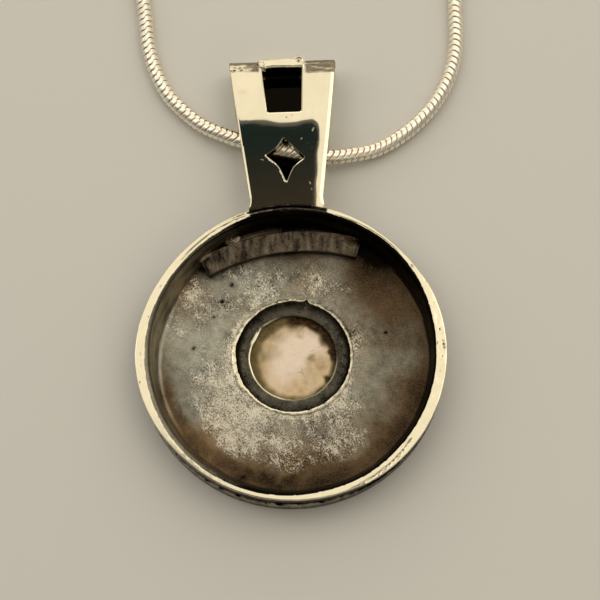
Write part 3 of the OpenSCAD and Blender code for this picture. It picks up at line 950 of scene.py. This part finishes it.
class Shader:
    """The nodes of a material or of the world, with short calls to add and link them."""

    def __init__(self, owner):
        owner.use_nodes = True
        self.owner = owner
        self.nodes, self.links = owner.node_tree.nodes, owner.node_tree.links

    @cached_property
    def place(self):
        """Where a point of the surface lies, in mm."""
        where = self.add("TexCoord").outputs["Object"]
        return self.add("Mapping", Vector=where, Scale=(1 / MM,) * 3).outputs["Vector"]

    def set(self, socket, value):
        if isinstance(value, bpy.types.NodeSocket):
            self.links.new(value, socket)
        else:
            socket.default_value = value

    def fill(self, node, inputs):
        """Sets or links the inputs that are named, with a low line for each space."""
        for name, value in inputs.items():
            self.set(node.inputs[name.replace("_", " ")], value)

    def add(self, kind, **inputs):
        node = self.nodes.new("ShaderNode" + kind)
        self.fill(node, inputs)
        return node

    def finish(self, color, rough, **inputs):
        """Fills the surface's own inputs and gives the material."""
        inputs.update(Base_Color=color, Roughness=rough)
        self.fill(self.nodes["Principled BSDF"], inputs)
        return self.owner

    def attribute(self, name):
        node = self.add("Attribute")
        node.attribute_name = name
        return self.add("SeparateColor", Color=node.outputs["Color"]).outputs

    def noise(self, size, detail=4, rough=0.6, stretch=(1, 1, 1), angle=0, seed=0):
        """Noise from 0 to 1 in lumps about size mm wide, stretched along turned axes."""
        place = self.place
        if stretch != (1, 1, 1) or seed:
            turned, moved = (0, 0, math.radians(angle)), (seed, seed * 0.7, seed * 1.3)
            mapping = self.add("Mapping", Vector=place, Scale=stretch, Rotation=turned, Location=moved)
            mapping.vector_type = "TEXTURE"
            place = mapping.outputs["Vector"]
        node = self.add("TexNoise", Vector=place, Scale=1 / size, Detail=detail, Roughness=rough)
        return node.outputs["Fac"]

    def math(self, kind, a, b, clamp=False):
        node = self.add("Math")
        node.operation = kind
        node.use_clamp = clamp
        self.set(node.inputs[0], a)
        self.set(node.inputs[1], b)
        return node.outputs[0]

    def plus(self, a, b, clamp=False):
        return self.math("ADD", a, b, clamp)

    def times(self, a, b):
        return self.math("MULTIPLY", a, b)

    def centred(self, value):
        """A value from 0 to 1, moved down to lie round 0."""
        return self.math("SUBTRACT", value, 0.5)

    def band(self, value, low, high, to_low=0, to_high=1):
        """The value's place between low and high, smoothly, as to_low to to_high."""
        node = self.add("MapRange", Value=value, From_Min=low, From_Max=high, To_Min=to_low, To_Max=to_high)
        node.interpolation_type = "SMOOTHSTEP"
        return node.outputs["Result"]

    def mix(self, share, a, b):
        node = self.add("Mix")
        node.data_type = "RGBA"
        for socket, value in zip((0, 6, 7), (share, a, b)):
            self.set(node.inputs[socket], value)
        return node.outputs[2]

    def cracks(self, size, width, seed=0):
        """Thin lines between irregular cells, 1 on a line and 0 off it."""
        moved = self.add("Mapping", Vector=self.place, Location=(seed,) * 3).outputs["Vector"]
        wobble = self.add("TexNoise", Vector=self.place, Scale=1.4 / size).outputs["Color"]
        node = self.add("TexVoronoi", Vector=self.mix(0.25, moved, wobble), Scale=1 / size)
        node.feature = "DISTANCE_TO_EDGE"
        return self.band(node.outputs["Distance"], 0, width / size, 1, 0)

    def relief(self, *layers):
        """One normal from bumps, each a pair of height and depth in mm."""
        below = {}
        for height, depth in layers:
            node = self.add("Bump", Strength=1, Distance=depth * MM, Height=height, **below)
            below = {"Normal": node.outputs["Normal"]}
        return below["Normal"]


def new_shader(name):
    return Shader(bpy.data.materials.new(name))


def rgb(red, green, blue):
    """A colour as a paint chart gives it, 0 to 255, for the shaders."""
    parts = [c / 255 for c in (red, green, blue)]
    return tuple(c / 12.92 if c <= 0.04045 else ((c + 0.055) / 1.055) ** 2.4 for c in parts) + (1,)


SILVER = rgb(228, 218, 190)
GREY_FROST = rgb(169, 167, 152)
BROWN_FROST = rgb(130, 102, 70)
OXIDE = rgb(15, 12, 8)
# The colour of the painted glints on the frosted silver
SPECK_GLINT = rgb(238, 229, 209)


def casting_material():
    s = new_shader("cast_silver")
    tarnish, frost, warm = s.attribute("surface")
    speckle, pit, on_bail = s.attribute("marks")
    grain = s.noise(0.16)
    blotch = s.noise(0.9, stretch=(1, 1.6, 1), angle=30, seed=3)
    scratch = s.noise(0.1, 3, 0.5, stretch=(1, 16, 1), angle=20, seed=9)

    frosted = s.mix(warm, GREY_FROST, BROWN_FROST)
    color = s.mix(frost, SILVER, frosted)
    uneven = s.times(s.centred(blotch), s.band(warm, 0.5, 1, 0.7, 0.2))
    uneven = s.plus(uneven, s.times(s.centred(grain), 0.8))
    uneven = s.times(uneven, s.plus(s.times(frost, 0.9), 0.08))
    uneven = s.times(uneven, s.band(tarnish, 0.95, 1, 1, 0))
    sponge = s.noise(0.13, 5, 0.75, stretch=(1, 1.5, 1), angle=25, seed=23)
    # Painted shade in the grain's hollows where the glints lie
    shade_between_glints = s.times(s.band(sponge, 0.36, 0.52, 0.55, 0), s.band(speckle, 0.1, 0.6))
    dark = s.plus(tarnish, s.plus(uneven, shade_between_glints), clamp=True)
    color = s.mix(dark, color, OXIDE)
    clump = s.noise(0.7, stretch=(1, 1.7, 1), angle=35, seed=31)
    height = s.plus(sponge, s.times(s.centred(clump), 0.5))
    height = s.plus(height, s.band(speckle, 0, 1, -0.02, 0.14))
    # Painted glints: small bright flecks on the frosted silver
    glint_specks = s.times(s.band(height, 0.53, 0.73), s.band(speckle, 0, 0.35, 0, 0.8))
    color = s.mix(s.times(glint_specks, frost), color, SPECK_GLINT)

    polished = s.band(on_bail, 0, 1, 0.13, 0.03)
    rough = s.plus(polished, s.times(frost, 0.36))
    rough = s.plus(rough, s.times(s.centred(blotch), s.times(frost, 0.15)))
    normal = s.relief(
        (s.times(grain, frost), 0.05),
        (s.times(sponge, frost), 0.03),
        (s.times(scratch, s.band(on_bail, 0, 1, 1, 0.12)), 0.0003),
        (s.times(pit, -1), 0.06),
    )
    return s.finish(color, rough, Metallic=1, Normal=normal)


def stone_material():
    s = new_shader("mother_of_pearl")
    pink, olive, dark = s.attribute("shell")
    cloud = s.noise(0.8, 5, seed=5)
    pinker = s.plus(pink, s.centred(cloud), clamp=True)
    color = s.mix(pinker, rgb(240, 204, 154), rgb(255, 234, 212))
    olive_share = s.times(olive, s.band(cloud, 0.2, 0.8))
    color = s.mix(olive_share, color, rgb(150, 132, 72))
    crack = s.times(s.cracks(2.4, 0.05, 4), s.band(s.noise(1.5, 2, 0.55, seed=8), 0.45, 0.65))
    color = s.mix(s.times(crack, 0.35), color, rgb(120, 84, 56))
    crumb = s.noise(0.4, seed=12)
    crumbs = s.times(s.centred(crumb), 0.6)
    # Painted shadow of the window's edge: a smooth olive dark
    color = s.mix(s.band(dark, 0, 0.6, 0, 0.85), color, rgb(96, 84, 44))
    # Crisp dark glue crumbs with painted shade towards the upper right and right
    shade = s.mix(s.band(crumb, 0.35, 0.7), rgb(18, 9, 3), rgb(84, 58, 26))
    color = s.mix(s.band(s.plus(dark, crumbs), 0.45, 1), color, shade)
    rough = s.band(cloud, 0.2, 0.8, 0.4, 0.6)
    normal = s.relief((s.noise(0.5), 0.03), (crack, -0.03))
    return s.finish(color, rough, Specular_IOR_Level=0.08, Normal=normal)


def chain_material():
    s = new_shader("chain_silver")
    groove = s.attribute("links")[0]
    wear = s.noise(1.1, seed=2)
    # Darker in the grooves between the scales: grime and painted shade
    groove_dirt_and_shade = s.band(groove, 0.25, 1)
    color = s.mix(s.band(wear, 0.35, 0.7, 0, 0.6), rgb(255, 251, 234), rgb(244, 220, 192))
    color = s.mix(groove_dirt_and_shade, color, rgb(150, 128, 88))
    rough = s.band(wear, 0.2, 0.8, 0.24, 0.36)
    normal = s.relief((s.noise(0.12, 3), 0.006))
    return s.finish(color, rough, Metallic=1, Normal=normal)


def clasp_material():
    s = new_shader("clasp_silver")
    wear = s.noise(0.7, seed=6)
    color = s.mix(s.times(wear, 0.3), rgb(248, 240, 216), rgb(206, 192, 160))
    rough = s.band(wear, 0.2, 0.8, 0.1, 0.26)
    normal = s.relief((s.noise(0.1, 3, stretch=(5, 1, 1)), 0.004))
    return s.finish(color, rough, Metallic=1, Normal=normal)


# Studio

LOOK_AT = (1.037, 5.313, 4)
CAMERA_FAR = 190
TILT, ROLL = math.radians(17), math.radians(-2)
CAMERA_BACK = Vector((0, -math.sin(TILT), math.cos(TILT)))
EYE = Vector(LOOK_AT) + CAMERA_BACK * CAMERA_FAR
PHOTO_WIDTH, FOCAL_PIXELS, SENSOR = 600, 1825, 36


def add_camera():
    across = Vector((1, 0, 0))
    upward = CAMERA_BACK.cross(across)
    right = across * math.cos(ROLL) + upward * math.sin(ROLL)
    up = upward * math.cos(ROLL) - across * math.sin(ROLL)
    data = bpy.data.cameras.new("camera")
    data.sensor_width = SENSOR
    data.lens = SENSOR * FOCAL_PIXELS / PHOTO_WIDTH
    data.clip_start = 0.001
    data.clip_end = 20
    camera = add_object("camera", data)
    camera.matrix_world = Matrix((right, up, CAMERA_BACK)).transposed().to_4x4()
    camera.matrix_world.translation = (DISC_AT + EYE) * MM
    bpy.context.scene.camera = camera


def mirrored(point, height):
    """Where the camera's ray, mirrored at a point of the flat back, reaches a height."""
    image = Vector((EYE.x, EYE.y, 2 * RIM_TOP - EYE.z))
    share = (height - image.z) / (RIM_TOP - image.z)
    return image + (Vector((point[0], point[1], RIM_TOP)) - image) * share


def add_area_light(name, at, size, power, color):
    data = bpy.data.lights.new(name, "AREA")
    data.shape = "RECTANGLE"
    data.size, data.size_y = (v * MM for v in size)
    data.energy = power
    data.color = color
    light = add_object(name, data)
    light.location = (DISC_AT + Vector(at)) * MM
    aim = (DISC_AT + Vector(LIGHTS_AIM)) * MM - light.location
    light.rotation_euler = aim.to_track_quat("-Z", "Y").to_euler()


# The dark card's outline, given by where it shows in the bail
CARD_OUTLINE = [
    (-6.5, 14.3), (2.9, 14.3), (3.05, 16), (3.3, 19), (3.6, 22), (3.74, 24.4), (3.62, 25.1),
    (3.1, 25.5), (1.2, 25.2), (-1, 25.35), (-3, 25.7), (-6.5, 25.95),
]
CARD_HEIGHT = 45
CARD_EDGE = 0.42

WARM_LIGHT, PALE_LIGHT = (1, 0.934, 0.77), (1, 0.98, 0.92)
LIGHTS_AIM = (0, 6, 0)
LIGHTS = [
    # name, place and size in mm, power in watts, colour
    ("softbox", (0, 80, 205), (260, 240), 0.113, WARM_LIGHT),
    ("right_strip", (100, 68, 140), (60, 150), 0.024, WARM_LIGHT),
    ("left_strip", (-150, 60, 130), (50, 160), 0.03, PALE_LIGHT),
    ("back_panel", (0, 260, 80), (260, 90), 0.08, WARM_LIGHT),
    ("front_strip", (60, -130, 125), (180, 80), 0.034, WARM_LIGHT),
]

# The floor: half its width, and how far it lies under the necklace
STAGE_HALF = 3000
STAGE_DROP = 0.02


def add_card(name, outline, height, low_color, high_color):
    """A dark card over the pendant that only its reflections show, browner towards the disc."""
    corners = [(DISC_AT + mirrored(p, height)) * MM for p in outline]
    card = new_object(name, corners, [range(len(corners))])
    s = new_shader(name)
    place_y = s.add("SeparateXYZ", Vector=s.place).outputs[1]
    near, far = corners[0].y / MM, corners[6].y / MM
    glow = s.mix(s.band(place_y, near, far), low_color, high_color)
    cover(card, s.finish(rgb(0, 0, 0), 1, Emission_Color=glow, Emission_Strength=1, Specular_IOR_Level=0))
    card.visible_camera = card.visible_shadow = card.visible_diffuse = False


def add_world(near_color, far_color):
    """Soft light from all round, darker on the side that the object is seen from."""
    world = bpy.data.worlds.new("world")
    s = Shader(world)
    place_y = s.add("SeparateXYZ", Vector=s.add("TexCoord").outputs["Generated"]).outputs[1]
    share = s.add("MapRange", Value=place_y, From_Min=-0.6, From_Max=0.3).outputs["Result"]
    s.fill(s.nodes["Background"], {"Color": s.mix(share, near_color, far_color)})
    bpy.context.scene.world = world


def add_studio():
    half = STAGE_HALF * MM
    corners = [(-half, -half, 0), (half, -half, 0), (half, half, 0), (-half, half, 0)]
    floor = new_object("floor", corners, [range(4)])
    floor.location.z = -STAGE_DROP * MM
    cover(floor, new_shader("pale_floor").finish(rgb(222, 219, 211), 0.8))

    inner = [(x - 0.2 * (x > 2.8), y - CARD_EDGE * (y > 24)) for x, y in CARD_OUTLINE]
    add_card("grey_card", CARD_OUTLINE, CARD_HEIGHT, rgb(92, 86, 80), rgb(98, 96, 95))
    add_card("dark_card", inner, CARD_HEIGHT - 0.5, rgb(60, 53, 46), rgb(31, 43, 43))

    add_world((0.12, 0.11, 0.1, 1), (0.62, 0.59, 0.54, 1))

    for light in LIGHTS:
        add_area_light(*light)
    bpy.context.scene.view_settings.view_transform = "Standard"


add_camera()
add_studio()
make_casting(casting_material())
make_stone(stone_material())
make_chain(chain_material())
finish_silver = clasp_material()
for name in ("end_cap_left", "end_cap_right", "clasp"):
    cover(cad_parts[name], finish_silver)
